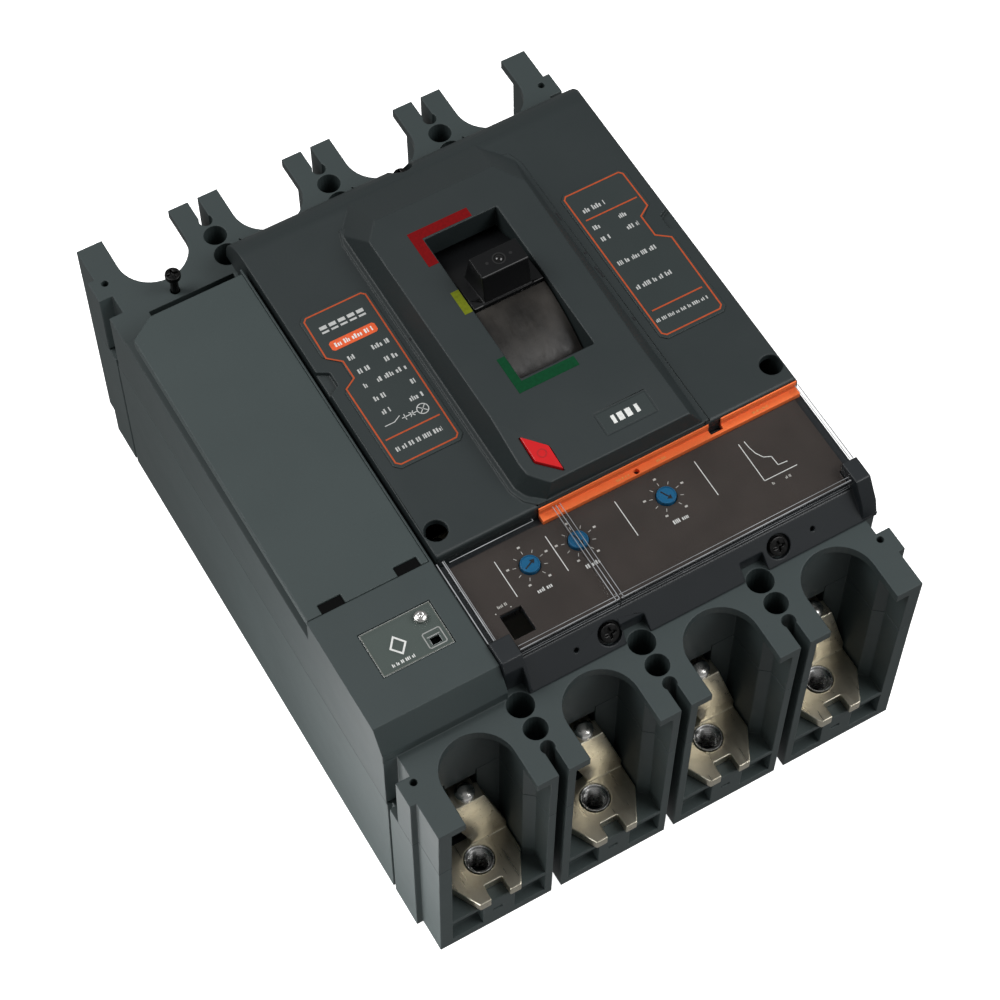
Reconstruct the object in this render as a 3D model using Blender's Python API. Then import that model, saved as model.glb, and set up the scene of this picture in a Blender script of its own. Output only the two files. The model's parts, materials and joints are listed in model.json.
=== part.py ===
"""A four-pole molded case breaker: housings, adjustable trip unit, toggle, contacts and terminals.

Frame: the centre of the back mounting face is the origin. +X runs across the poles from the neutral,
+Y points to the line side and +Z out of the front. Sizes are millimetres; MM turns them into metres.
"""

import math

import bmesh
import bpy
from mathutils import Matrix, Vector

MM = 0.001

# Driving dimensions
POLE_PITCH = 45.0
POLES = {"n": -1.5 * POLE_PITCH, "l1": -0.5 * POLE_PITCH, "l2": 0.5 * POLE_PITCH, "l3": 1.5 * POLE_PITCH}
WALLS_BETWEEN = (-POLE_PITCH, 0.0, POLE_PITCH)
HALF_WIDTH = 92.5
BASE_TIPS = (126.5, 127.5)
CASE_TIPS = (127.5, 128.2)
GAP = 0.3

# Heights of the mouldings, from the mounting face
BASE_TOP = 64.8
CASE_BOTTOM = BASE_TOP + GAP
DECK = 94.0
NEUTRAL_TOP = 107.5
NEUTRAL_SEAM = -47.6
FINGER_SLOTS = (-82.5, -55.0)
SEAL_AT = (-60.3, -64.3)
COVER_TOP = 109.5
ESCUTCHEON_TOP = 120.0
FLOOR = 5.0

# Terminal ends: each pole has an open pocket between shrouds, under a thin plate with an arch cut in it
END_HALF_WIDTH = 90.1
SHOULDER = 114.4
POCKET_HALF = 14.6
MOUTH_HALF = 17.9
MOUTH_START = 116.5
ARCH_HALF = 12.9
ARCH_TOPS = {-1: 101.2, 1: 102.4}
ARCH_PLATE = 3.8
LIP_TOP = 18.7
SLOT_HALF = 1.9
SLOT_START = 118.0
KEYHOLE_RADIUS = 2.5
MOUNT_HOLE_Y = 110.5
MOUNT_HOLE_RADIUS = 4.15
NOTCHES = (-37.0, 7.7, 52.6)

# Inside the base
CHAMBER_HALF = 18.6
CHAMBER_LINE_END = 94.0
CHAMBER_LOAD_END = -88.0
BAR_BOTTOM = 19.0
BAR_TOP = 23.6
BAR_HALF = 9.0
STUD_Y = 113.4
STUD_HOLE_RADIUS = 5.3
BOLT_Y = -104.0
TAP_BOTTOM = 53.6
TAP_TOP = 57.0

# The front cover over the three phase poles, and its raised escutcheon
COVER_LEFT = -45.8
COVER_RIGHT = 92.2
COVER_LOAD_EDGE = -48.9
COVER_LINE_EDGE = 100.7
COVER_WALL = 3.0
CENTRE_X = 0.5 * POLE_PITCH
WINDOW_HALF = 14.0
WINDOW_LOAD = -9.0
WINDOW_LINE = 55.6
FACE_EDGE = -19.0
FACE_TILT = 5.3
COVER_SCREWS = ((-41.0, -40.0), (87.0, -40.0))
LINE_SCREWS = ((-67.6, 96.6, 101.6), (21.6, 96.6, 99.0))
LABELS = {"left": (-41.3, -15.2), "right": (60.7, 86.8)}
LABEL_ENDS = (-14.2, 54.8)

# Trip unit
TRIP_LEFT = -46.9
TRIP_RIGHT = 91.8
TRIP_LINE_EDGE = -49.3
TRIP_FACE = 103.2
PLATE_TOP = 104.0
TRIM_TOP = 105.4
TRIM_LIP_TOP = 108.9
TRIM_LOAD_EDGE = -52.4
STRIP_FOOT = -99.4
STRIP_HEAD = -91.0
STRIP_HEAD_Z = 103.4
LID_BOTTOM = 106.4
LID_TOP = 108.2
LID_LIP_FOOT = 103.7
LID_SPLIT = -2.0
LID_RIM = 1.4
LID_LEFT_RIM = 2.4
CORNER_LEFT = -39.4
LID_LINE_EDGE = -50.0
LID_HINGE_Y = -51.2
LID_HINGE_Z = 107.3
LID_LOAD_EDGE = -90.4
BLOCK_TOP = 109.2
STRIP_SCREWS = (-8.6, 55.4)
STRIP_HOLES = (-21.0, 68.5)
STRIP_MIDDLE = (-95.2, 98.7)
STRIP_TILT = math.degrees(math.atan2(STRIP_HEAD_Z - DECK, STRIP_HEAD - STRIP_FOOT))
DIAL_Y = -63.5
DIALS = {"overload": -19.7, "short_delay": -1.6, "instant": 31.8}
DIAL_RADIUS = 3.35

# Toggle and operating mechanism: the toggle's pivot line runs along X
PIVOT_Y = 24.0
PIVOT_Z = 68.5
DRUM_RADIUS = 50.6
DRUM_HALF = 13.4
CROSSBAR_Y = 2.0
CROSSBAR_Z = 47.0
CROSSBAR_RADIUS = 8.0
TRIP_BAR_Y = -33.0
TRIP_BAR_Z = 87.0
BUTTON_STEM_Y = -41.0

# Colours: red, green, blue, roughness, metallic
SLATE = (0.056, 0.072, 0.072, 0.55, 0.0)
DARK_SLATE = (0.040, 0.052, 0.056, 0.50, 0.0)
BLACK = (0.006, 0.006, 0.007, 0.35, 0.0)
STEEL = (0.45, 0.45, 0.44, 0.35, 1.0)
NICKEL = (0.42, 0.37, 0.27, 0.32, 1.0)
COPPER = (0.60, 0.30, 0.18, 0.35, 1.0)
BROWN = (0.042, 0.033, 0.027, 0.35, 0.0)
ORANGE = (0.88, 0.13, 0.02, 0.45, 0.0)
RED = (0.80, 0.01, 0.02, 0.35, 0.0)
BLUE = (0.012, 0.21, 0.47, 0.35, 0.0)
CLEAR = (0.80, 0.82, 0.82, 0.08, 0.0)
FIBRE = (0.30, 0.11, 0.06, 0.70, 0.0)
CREAM = (0.55, 0.52, 0.42, 0.60, 0.0)
BOARD = (0.02, 0.14, 0.05, 0.45, 0.0)


def material(name, look):
    made = bpy.data.materials.new(name)
    made.use_nodes = True
    shader = made.node_tree.nodes["Principled BSDF"]
    shader.inputs["Base Color"].default_value = (*look[:3], 1.0)
    shader.inputs["Roughness"].default_value = look[3]
    shader.inputs["Metallic"].default_value = look[4]
    made.diffuse_color = (*look[:3], 1.0)
    return made


def arc(centre, radius, start, end, steps):
    """Points on a circle, from start to end degrees."""
    turns = [math.radians(start + (end - start) * i / steps) for i in range(steps + 1)]
    return [(centre[0] + radius * math.cos(t), centre[1] + radius * math.sin(t)) for t in turns]


def solid(name, outline, low, high, axis="Z", far_outline=None):
    """A closed prism: the outline runs along the two other axes, in X, Y, Z order; far_outline tapers it."""
    order = {"X": (2, 0, 1), "Y": (0, 2, 1), "Z": (0, 1, 2)}[axis]
    mesh = bpy.data.meshes.new(name)
    shape = bmesh.new()
    rings = []
    for level, points in ((low, outline), (high, far_outline or outline)):
        corners = []
        for point in points:
            flat = (point[0], point[1], level)
            corners.append(shape.verts.new([flat[i] * MM for i in order]))
        rings.append(corners)
    shape.faces.new(rings[0])
    shape.faces.new(rings[1])
    for i in range(len(outline)):
        j = (i + 1) % len(outline)
        shape.faces.new((rings[0][i], rings[0][j], rings[1][j], rings[1][i]))
    bmesh.ops.recalc_face_normals(shape, faces=shape.faces)
    shape.to_mesh(mesh)
    shape.free()
    made = bpy.data.objects.new(name, mesh)
    bpy.context.scene.collection.objects.link(made)
    return made


def box(name, xs, ys, zs):
    outline = [(xs[0], ys[0]), (xs[1], ys[0]), (xs[1], ys[1]), (xs[0], ys[1])]
    return solid(name, outline, zs[0], zs[1])


def rod(name, centre, radius, low, high, axis="Z", steps=24):
    """A round bar along an axis; centre holds the two other coordinates."""
    outline = arc(centre, radius, 0, 360 * (steps - 1) / steps, steps - 1)
    return solid(name, outline, low, high, axis)


def is_closed(mesh):
    shape = bmesh.new()
    shape.from_mesh(mesh)
    closed = all(len(edge.link_faces) == 2 for edge in shape.edges)
    shape.free()
    return closed


def combine(target, tools, operation="DIFFERENCE"):
    """Applies each tool to the target as a Boolean, and removes the tool."""
    for tool in tools:
        step = target.modifiers.new("step", "BOOLEAN")
        step.operation = operation
        step.object = tool
        for solver in ("EXACT", "MANIFOLD"):
            step.solver = solver
            bpy.context.view_layer.update()
            graph = bpy.context.evaluated_depsgraph_get()
            mesh = bpy.data.meshes.new_from_object(target.evaluated_get(graph))
            if is_closed(mesh):
                break
        target.modifiers.clear()
        target.data = mesh
        bpy.data.objects.remove(tool)
    return target


def cut(target, *tools):
    return combine(target, tools)


def join(target, *tools):
    return combine(target, tools, "UNION")


def turn(made, degrees, axis, about):
    """Turns the shape itself about a point."""
    spot = Vector(about) * MM
    spin = Matrix.Rotation(math.radians(degrees), 4, axis)
    made.data.transform(Matrix.Translation(spot) @ spin @ Matrix.Translation(-spot))
    return made


def finish(made, look, pivot=None):
    """Gives the piece its own material and, if it moves, its origin on its joint's axis."""
    made.data.materials.clear()
    made.data.materials.append(material(made.name, look))
    if pivot:
        spot = Vector(pivot) * MM
        made.data.transform(Matrix.Translation(-spot))
        made.location = spot
    return made


def end_outline(inset_half, notch_near, notch_far, tip):
    """The housing's outline seen from the front, with a side notch near each end."""
    corner = [(HALF_WIDTH, notch_near), (inset_half, notch_near), (inset_half, notch_far)]
    corner += [(HALF_WIDTH, notch_far), (HALF_WIDTH, SHOULDER)]
    corner += [(END_HALF_WIDTH, SHOULDER), (END_HALF_WIDTH, tip)]
    line_end = corner + [(-x, y) for x, y in reversed(corner)]
    return line_end + [(-x, -y) for x, y in line_end]


def housing_block(name, inset_half, notch, tips, low, high):
    outlines = [end_outline(inset_half, *notch, tip) for tip in tips]
    return solid(name, outlines[0], low, high, far_outline=outlines[1])


def barrier_slot(name, x, side):
    """The keyhole slot between two poles that takes a phase barrier."""
    start = SLOT_START + KEYHOLE_RADIUS * 0.6
    outline = [(x + SLOT_HALF, side * start), (x + SLOT_HALF, side * 140.0)]
    outline += [(x - SLOT_HALF, side * 140.0), (x - SLOT_HALF, side * start)]
    slot = solid(name, outline, -10.0, 130.0)
    return join(slot, rod("keyhole", (x, side * SLOT_START), KEYHOLE_RADIUS, -10.0, 130.0, steps=16))


def pocket(x, side, low, high):
    """The room for a terminal; it is wider at its mouth than beside the mounting holes."""
    right = [(POCKET_HALF, 101.2), (POCKET_HALF, MOUTH_START)]
    right += [(MOUTH_HALF, MOUTH_START + 2.7), (MOUTH_HALF, 140.0)]
    outline = right + [(-u, v) for u, v in reversed(right)]
    return solid("pocket", [(x + u, side * v) for u, v in outline], low, high)


def arch(x, side):
    """The round-ended opening in the thin plate over a pocket."""
    centre = ARCH_TOPS[side] + ARCH_HALF
    outline = [(x + ARCH_HALF, side * 140.0), (x - ARCH_HALF, side * 140.0)]
    outline += arc((x, side * centre), ARCH_HALF, 180, 180 + side * 180, 20)
    return solid("arch", outline, 80.0, 130.0)


def end_cutters():
    """What is cut from both housings: barrier slots and mounting holes."""
    for side in (-1, 1):
        for x in WALLS_BETWEEN:
            yield barrier_slot("slot", x, side)
            yield rod("hole", (x, side * MOUNT_HOLE_Y), MOUNT_HOLE_RADIUS, -10.0, 130.0, steps=20)


def base_housing():
    made = housing_block("base_housing", 90.6, (98.0, 99.6), BASE_TIPS, 0.0, BASE_TOP)
    cut(made, *end_cutters())
    for x in POLES.values():
        chamber = (CHAMBER_LOAD_END, CHAMBER_LINE_END)
        cut(made, box("chamber", (x - CHAMBER_HALF, x + CHAMBER_HALF), chamber, (FLOOR, 80.0)))
        for side in (-1, 1):
            nut_well = sorted((side * 106.5, side * 120.0))
            cut(made, pocket(x, side, LIP_TOP, 80.0))
            cut(made, box("nut_well", (x - 7.0, x + 7.0), nut_well, (8.0, 20.0)))
            sill_slot = sorted((side * 124.5, side * 140.0))
            cut(made, box("sill_slot", (x - 2.2, x + 1.4), sill_slot, (9.8, 11.6)))
            sill = sorted((side * 122.5, side * 140.0))
            for low, high in ((-MOUTH_HALF, -6.0), (6.0, MOUTH_HALF)):
                cut(made, box("sill_recess", (x + low, x + high), sill, (4.0, LIP_TOP - 1.8)))
        line_slot = box("line_slot", (x - 9.6, x + 9.6), (90.0, 104.0), (BAR_BOTTOM - GAP, BAR_TOP + GAP))
        load_slot = box("load_slot", (x - 6.2, x + 6.2), (-104.0, -84.0), (TAP_BOTTOM - 2.6, 80.0))
        cut(made, line_slot, load_slot)
    crossbar_slot = box("slot", (-88.0, 88.0), (CROSSBAR_Y - 8.6, CROSSBAR_Y + 8.6), (CROSSBAR_Z, 80.0))
    bearing = rod("bearing", (CROSSBAR_Y, CROSSBAR_Z), 8.8, -88.0, 88.0, "X")
    cut(made, crossbar_slot, bearing)
    return finish(made, SLATE)


def main_case():
    made = housing_block("main_case", 87.4, (97.2, 105.2), CASE_TIPS, CASE_BOTTOM, DECK)
    block = [(-92.5, -97.0), (-47.2, -97.0), (-47.2, 84.0), (-92.5, 84.0)]
    neutral = solid("neutral", block, DECK - 5.0, NEUTRAL_TOP)
    slope = [(-91.4, NEUTRAL_TOP + 5.0), (-91.4, NEUTRAL_TOP), (-92.4, NEUTRAL_TOP - 1.6), (-99.4, DECK)]
    slope += [(-110.0, DECK), (-110.0, NEUTRAL_TOP + 5.0)]
    cut(neutral, solid("slope", slope, -100.0, -40.0, "X"))
    join(made, neutral)
    cut(made, *end_cutters())
    for x in POLES.values():
        for side in (-1, 1):
            cut(made, pocket(x, side, 50.0, DECK - ARCH_PLATE), arch(x, side))
        tongue = box("tongue", (x - 5.8, x + 5.8), (-101.2, -89.0), (TAP_TOP + 5.0, CASE_BOTTOM + 1.0))
        join(made, tongue)
    seat = box("seat", (-100.0, -47.9), (NEUTRAL_SEAM - GAP, 100.0), (96.2, 120.0))
    chambers = box("chambers", (-86.0, -49.5), (-42.0, 80.0), (50.0, 120.0))
    below_window = box("below_window", (-86.0, -49.5), (-88.0, -41.0), (50.0, 98.0))
    mechanism = box("mechanism", (-41.5, 86.0), (-46.0, 84.0), (50.0, 120.0))
    cut(made, seat, chambers, below_window, mechanism)
    cut(made, box("trip_well", (-41.5, 86.0), (-88.0, -50.0), (50.0, 120.0)))
    for x in WALLS_BETWEEN:
        for y in (-101.0, 101.2):
            cut(made, rod("recess", (x, y), 4.7, 72.0, 120.0, steps=20))
    cut(made, box("plunger_hole", (52.0, 60.0), (-52.0, -44.0), (TRIP_BAR_Z - 4.0, 120.0)))
    cut(made, box("cover_trench", (-79.5, -47.0), (85.2, 93.0), (87.0, 120.0)))
    for x in NOTCHES:
        cut(made, solid("notch", [(x - 1.6, 102.0), (x + 1.4, 102.0), (x - 1.6, 105.4)], 88.0, 120.0))
    for x, y, z in LINE_SCREWS:
        cut(made, rod("screw_hole", (x, y), 1.8, 80.0, 120.0, steps=12))
    for x in (-87.4, 87.4):
        for y in (-107.6, 111.2):
            cut(made, rod("pin_hole", (x, y), 1.3, 84.0, 120.0, steps=12))
    for x in STRIP_SCREWS:
        cut(made, strip_rod("screw_hole", x, 1.9, -12.0, 2.0))
    window = box("window", (-80.9, -54.8), (-77.5, -59.9), (NEUTRAL_TOP - 1.6, 120.0))
    seal = rod("seal", SEAL_AT, 2.2, 100.0, 120.0, steps=16)
    cut(made, window, seal, box("pocket", (-62.2, -57.6), (-75.2, -70.2), (101.0, 120.0)))
    return finish(made, SLATE)


def neutral_pole_cover():
    outline = [(-92.1, NEUTRAL_SEAM), (-48.0, NEUTRAL_SEAM), (-48.0, 82.2), (-83.0, 82.2), (-92.1, 76.0)]
    made = solid("neutral_pole_cover", outline, 103.6, NEUTRAL_TOP)
    outline = [(-89.0, NEUTRAL_SEAM), (-48.4, NEUTRAL_SEAM), (-48.4, 79.0), (-82.0, 79.0), (-89.0, 74.0)]
    join(made, solid("skirt", outline, 96.6, 105.0))
    cut(made, box("hollow", (-85.4, -50.4), (-41.0, 76.0), (90.0, 105.0)))
    for x in FINGER_SLOTS:
        cut(made, box("finger_slot", (x - 4.2, x + 4.2), (-50.0, -44.0), (90.0, 120.0)))
    return finish(made, SLATE)


def cover_profile():
    """The front cover seen from the side: (Y, Z) points."""
    line_round = arc((COVER_LINE_EDGE - 14.6, COVER_TOP - 14.6), 14.6, 0, 90, 6)
    points = [(COVER_LOAD_EDGE, DECK + GAP), (COVER_LINE_EDGE, DECK + GAP)]
    points += line_round
    return points + [(COVER_LOAD_EDGE + 0.8, COVER_TOP), (COVER_LOAD_EDGE, COVER_TOP - 0.8)]


def tilt(made):
    """Leans a piece back to the sloping load-side part of the escutcheon's face."""
    return turn(made, FACE_TILT, "X", (0.0, FACE_EDGE, ESCUTCHEON_TOP))


def escutcheon():
    """The raised frame around the toggle, with sloping flanks."""
    base = [(-12.4, -40.0), (-10.4, -44.4), (-5.4, -48.8), (57.0, -48.8), (57.0, 80.0), (48.0, 91.0)]
    base += [(-4.0, 91.0), (-12.4, 81.0)]
    top = [(-7.6, -36.0), (-6.8, -40.6), (-1.4, -46.4), (48.6, -46.4), (50.6, 60.0), (44.0, 71.0)]
    top += [(-2.4, 71.0), (-8.2, 64.0)]
    corners = [(x, y, COVER_TOP - 2.0) for x, y in base] + [(x, y, ESCUTCHEON_TOP) for x, y in top]
    mesh = bpy.data.meshes.new("escutcheon")
    shape = bmesh.new()
    bmesh.ops.convex_hull(shape, input=[shape.verts.new(Vector(corner) * MM) for corner in corners])
    bmesh.ops.recalc_face_normals(shape, faces=shape.faces)
    shape.to_mesh(mesh)
    shape.free()
    made = bpy.data.objects.new("escutcheon", mesh)
    bpy.context.scene.collection.objects.link(made)
    return cut(made, tilt(box("slope", (-30.0, 70.0), (-70.0, FACE_EDGE), (ESCUTCHEON_TOP, 130.0))))


def front_cover():
    made = solid("front_cover", cover_profile(), COVER_LEFT, COVER_RIGHT, "X")
    plinth = [(-13.3, -39.7), (-11.3, -45.0), (-7.7, -48.4), (57.4, -48.4), (57.4, 74.0), (55.4, 80.0)]
    plinth += [(-11.4, 80.0), (-13.3, 74.0)]
    join(made, solid("plinth", plinth, COVER_TOP - 1.0, COVER_TOP + 0.7), escutcheon())
    edge = [(COVER_RIGHT - 1.6, 125.0), (COVER_RIGHT - 1.6, COVER_TOP), (COVER_RIGHT, COVER_TOP - 2.6)]
    edge += [(100.0, COVER_TOP - 2.6), (100.0, 125.0)]
    cut(made, solid("edge", edge, -60.0, 110.0, "Y"))
    inner = (COVER_LOAD_EDGE + COVER_WALL, 84.0)
    across = (COVER_LEFT + COVER_WALL, COVER_RIGHT - COVER_WALL)
    cut(made, box("hollow", across, inner, (90.0, COVER_TOP - 3.0)))
    window_x = (CENTRE_X - WINDOW_HALF, CENTRE_X + WINDOW_HALF)
    left = box("hollow", (-5.0, window_x[0] - 2.4), (-44.6, 62.0), (90.0, ESCUTCHEON_TOP - 5.0))
    right = box("hollow", (window_x[1] + 2.4, 46.0), (-44.6, 62.0), (90.0, ESCUTCHEON_TOP - 5.0))
    middle = box("hollow", (0.0, 44.0), (-44.6, WINDOW_LOAD - 2.4), (90.0, ESCUTCHEON_TOP - 5.0))
    drum_room = box("hollow", (window_x[0] - 0.6, window_x[1] + 0.6), (-14.0, 60.0), (90.0, 109.0))
    cut(made, left, right, middle, drum_room)
    cut(made, box("window", window_x, (WINDOW_LOAD, WINDOW_LINE), (80.0, 130.0)))
    cut(made, solid("button_hole", button_outline(0.35), 110.0, 130.0))
    for x, y in COVER_SCREWS:
        cut(made, rod("screw_recess", (x, y), 4.0, 97.0, 130.0, steps=20))
    cut(made, rod("screw_recess", (LINE_SCREWS[1][0], LINE_SCREWS[1][1]), 4.2, 90.0, 130.0, steps=20))
    cut(made, tilt(box("plate_seat", (22.4, 41.8), (-41.2, -32.4), (ESCUTCHEON_TOP - 0.6, 130.0))))
    for edge, inside in ((COVER_LEFT - 3.0, -41.8), (COVER_RIGHT + 3.0, 87.3)):
        outline = [(edge, 34.6), (inside, 30.6), (inside, 24.8), (edge, 21.2)]
        cut(made, solid("finger_notch", outline, COVER_TOP - 1.8, 125.0))
    return finish(made, DARK_SLATE)


def label_outline(side):
    """A nameplate with cut corners and a jog beside the finger notch at the cover's edge."""
    left, right = LABELS[side]
    low, high = LABEL_ENDS
    corner = 2.0
    inner = [(right - corner, low), (right, low + corner), (right, high - corner), (right - corner, high)]
    outer = [(left + corner, high), (left, high - corner), (left, 37.0), (left + 4.8, 33.0)]
    outer += [(left + 4.8, 24.0), (left, 20.6), (left, low + corner), (left + corner, low)]
    outline = inner + outer
    if side == "right":
        outline = [(left + right - x, y) for x, y in outline]
    return outline


def button_outline(grow):
    """The trip button's diamond, seen from the front."""
    outline = [(-3.2 - grow, -38.4), (3.6 + 0.5 * grow, -45.0 - grow)]
    return outline + [(3.6 + grow, -35.4), (-3.2 - 0.5 * grow, -28.2 + grow)]


def trip_button():
    made = solid("trip_button", button_outline(0.0), 113.0, 123.0)
    cut(made, tilt(box("face", (-20.0, 20.0), (-70.0, 0.0), (ESCUTCHEON_TOP + 0.9, 140.0))))
    join(made, box("flange", (-4.4, 4.8), (-44.2, -32.0), (112.0, 114.4)))
    join(made, rod("stem", (0.6, BUTTON_STEM_Y), 1.6, 91.4, 112.6, steps=12))
    return finish(made, RED, (0.6, BUTTON_STEM_Y, 110.0))


def label_plates():
    for side in LABELS:
        made = solid("rating_label_" + side, label_outline(side), COVER_TOP + 0.02, COVER_TOP + 0.32)
        finish(made, DARK_SLATE)
    thickness = (ESCUTCHEON_TOP - 0.5, ESCUTCHEON_TOP - 0.1)
    finish(tilt(box("current_rating_plate", (22.7, 41.5), (-40.9, -32.7), thickness)), DARK_SLATE)


def trip_unit_housing():
    profile = [(STRIP_FOOT, DECK + GAP), (TRIP_LINE_EDGE, DECK + GAP), (TRIP_LINE_EDGE, TRIP_FACE)]
    profile += [(STRIP_HEAD + 0.6, TRIP_FACE), (STRIP_HEAD + 0.6, STRIP_HEAD_Z), (STRIP_HEAD, STRIP_HEAD_Z)]
    made = solid("trip_unit_housing", profile, TRIP_LEFT, TRIP_RIGHT, "X")
    block = [(-99.0, DECK + 1.0), (-84.0, DECK + 1.0), (-84.0, BLOCK_TOP)]
    block += [(-92.4, BLOCK_TOP), (-97.4, 101.0)]
    for left, right in ((TRIP_LEFT, CORNER_LEFT), (86.2, TRIP_RIGHT)):
        join(made, solid("corner_block", block, left, right, "X"))
    cut(made, box("hollow", (-41.0, 85.4), (-88.0, -51.6), (90.0, TRIP_FACE - 2.0)))
    for x in DIALS.values():
        cut(made, rod("dial_hole", (x, DIAL_Y), DIAL_RADIUS + GAP, 90.0, 110.0, steps=24))
    for x in WALLS_BETWEEN:
        cut(made, box("notch", (x - 4.4, x + 4.4), (-105.0, -94.6), (90.0, 110.0)))
        cut(made, rod("notch", (x, -101.0), 4.9, 90.0, 110.0, steps=20))
    cut(made, box("test_port", (-37.6, -29.6), (-84.6, -74.6), (TRIP_FACE - 5.0, 110.0)))
    for x in STRIP_SCREWS:
        cut(made, strip_rod("screw_recess", x, 4.3, -2.2, 12.0))
        cut(made, strip_rod("screw_hole", x, 1.9, -9.6, 2.0))
    for x in STRIP_HOLES:
        cut(made, strip_rod("sight_hole", x, 0.9, -2.5, 2.0, steps=12))
    return finish(made, BLACK)


def strip_rod(name, x, radius, low, high, steps=20):
    """A rod square to the trip unit's sloping strip; low and high count from the strip's surface."""
    y, z = STRIP_MIDDLE
    made = rod(name, (x, y), radius, z + low, z + high, steps=steps)
    return turn(made, STRIP_TILT, "X", (x, y, z))


def trip_faceplate():
    ends = (-88.6, TRIM_LOAD_EDGE - GAP)
    made = box("trip_faceplate", (-43.4, 88.6), ends, (TRIP_FACE + 0.05, PLATE_TOP))
    cut(made, box("step", (-50.0, -8.4), (-53.8, -40.0), (90.0, 110.0)))
    for left, right in ((-50.0, CORNER_LEFT + GAP), (85.9, 100.0)):
        cut(made, box("corner", (left, right), (-99.0, -83.7), (90.0, 110.0)))
    for x in DIALS.values():
        cut(made, rod("dial_hole", (x, DIAL_Y), DIAL_RADIUS + GAP, 90.0, 110.0, steps=24))
    cut(made, box("test_port", (-37.6, -29.6), (-84.6, -74.6), (90.0, 110.0)))
    return finish(made, BROWN)


def trip_trim_strip():
    across = (-8.2, 91.0)
    made = box("trip_trim_strip", across, (TRIM_LOAD_EDGE, -49.35), (TRIP_FACE + 0.05, TRIM_TOP))
    join(made, box("lip", across, (-49.6, -49.1), (TRIP_FACE + 0.05, TRIM_LIP_TOP)))
    notch = box("notch", (56.6, 61.4), (-51.3, -48.9), (90.0, 110.0))
    cut(made, notch, rod("hole", (27.9, -51.1), 1.0, 90.0, 110.0, steps=16))
    return finish(made, ORANGE)


def adjustment_dials():
    for name, x in DIALS.items():
        made = rod(name + "_dial", (x, DIAL_Y), DIAL_RADIUS, 100.4, PLATE_TOP + 1.2, steps=28)
        join(made, rod("stem", (x, DIAL_Y), 1.6, 93.0, 100.8, steps=12))
        slot = box("slot", (x - 0.45, x + 0.45), (DIAL_Y - 2.5, DIAL_Y + 2.3), (PLATE_TOP + 0.4, 110.0))
        cut(made, slot)
        finish(made, BLUE, (x, DIAL_Y, 100.0))


def clear_lids():
    """Two see-through lids over the trip unit, hinged along their line-side edge."""
    ends = {"left": (TRIP_LEFT, LID_SPLIT - 0.2), "right": (LID_SPLIT + 0.2, 91.2)}
    corners = {"left": (-50.0, CORNER_LEFT + GAP), "right": (85.9, 100.0)}
    rims = {"left": LID_LEFT_RIM, "right": LID_RIM}
    for side, (left, right) in ends.items():
        made = box("clear_lid_" + side, (left, right), (LID_LOAD_EDGE, LID_LINE_EDGE), (LID_BOTTOM, LID_TOP))
        lip = (LID_LOAD_EDGE, LID_LOAD_EDGE + LID_RIM)
        join(made, box("lip", (left, right), lip, (LID_LIP_FOOT, LID_TOP)))
        for ends_of_rim in ((left, left + rims[side]), (right - LID_RIM, right)):
            sides = (LID_LOAD_EDGE, LID_HINGE_Y - 3.6)
            join(made, box("rim", ends_of_rim, sides, (LID_BOTTOM - 1.0, LID_TOP)))
        cut(made, box("corner", corners[side], (-95.0, -83.7), (100.0, 110.0)))
        finish(made, CLEAR, (0.5 * (left + right), LID_HINGE_Y, LID_HINGE_Z))


def neutral_window():
    made = box("neutral_window", (-80.6, -55.1), (-77.2, -60.2), (NEUTRAL_TOP - 1.3, NEUTRAL_TOP - 0.2))
    cut(made, rod("seal_hole", SEAL_AT, 1.6, 90.0, 120.0, steps=16))
    cut(made, box("slot", (-61.6, -58.2), (-74.8, -72.0), (90.0, 120.0)))
    finish(made, CLEAR)
    screw = rod("seal_screw", SEAL_AT, 1.3, 101.5, 107.6, steps=16)
    join(screw, rod("head", SEAL_AT, 2.2, NEUTRAL_TOP - 0.1, NEUTRAL_TOP + 1.2, steps=16))
    finish(screw, STEEL)


def pan_screw(name, at, head_radius=3.4, length=9.0):
    """A cross-recessed screw whose head rests at the given point, pointing up."""
    x, y, z = at
    made = rod(name, (x, y), head_radius, z, z + 2.3, steps=20)
    join(made, rod("shank", (x, y), 1.5, z - length, z + 0.4, steps=12))
    cut(made, box("cross", (x - 2.0, x + 2.0), (y - 0.4, y + 0.4), (z + 1.0, z + 4.0)))
    cut(made, box("cross", (x - 0.4, x + 0.4), (y - 2.0, y + 2.0), (z + 1.0, z + 4.0)))
    return made


def screws():
    for number, x in enumerate(STRIP_SCREWS, 1):
        y, z = STRIP_MIDDLE
        made = pan_screw("trip_unit_screw_%d" % number, (x, y, z - 1.9), length=7.0)
        finish(turn(made, STRIP_TILT, "X", (x, y, z)), BLACK)
    for number, (x, y) in enumerate(COVER_SCREWS, 1):
        finish(pan_screw("cover_screw_%d" % number, (x, y, 97.3), length=3.0), BLACK)
    for number, (x, y, z) in enumerate(LINE_SCREWS, 1):
        finish(pan_screw("line_screw_%d" % number, (x, y, z), head_radius=2.8, length=z - 84.0), BLACK)


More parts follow.
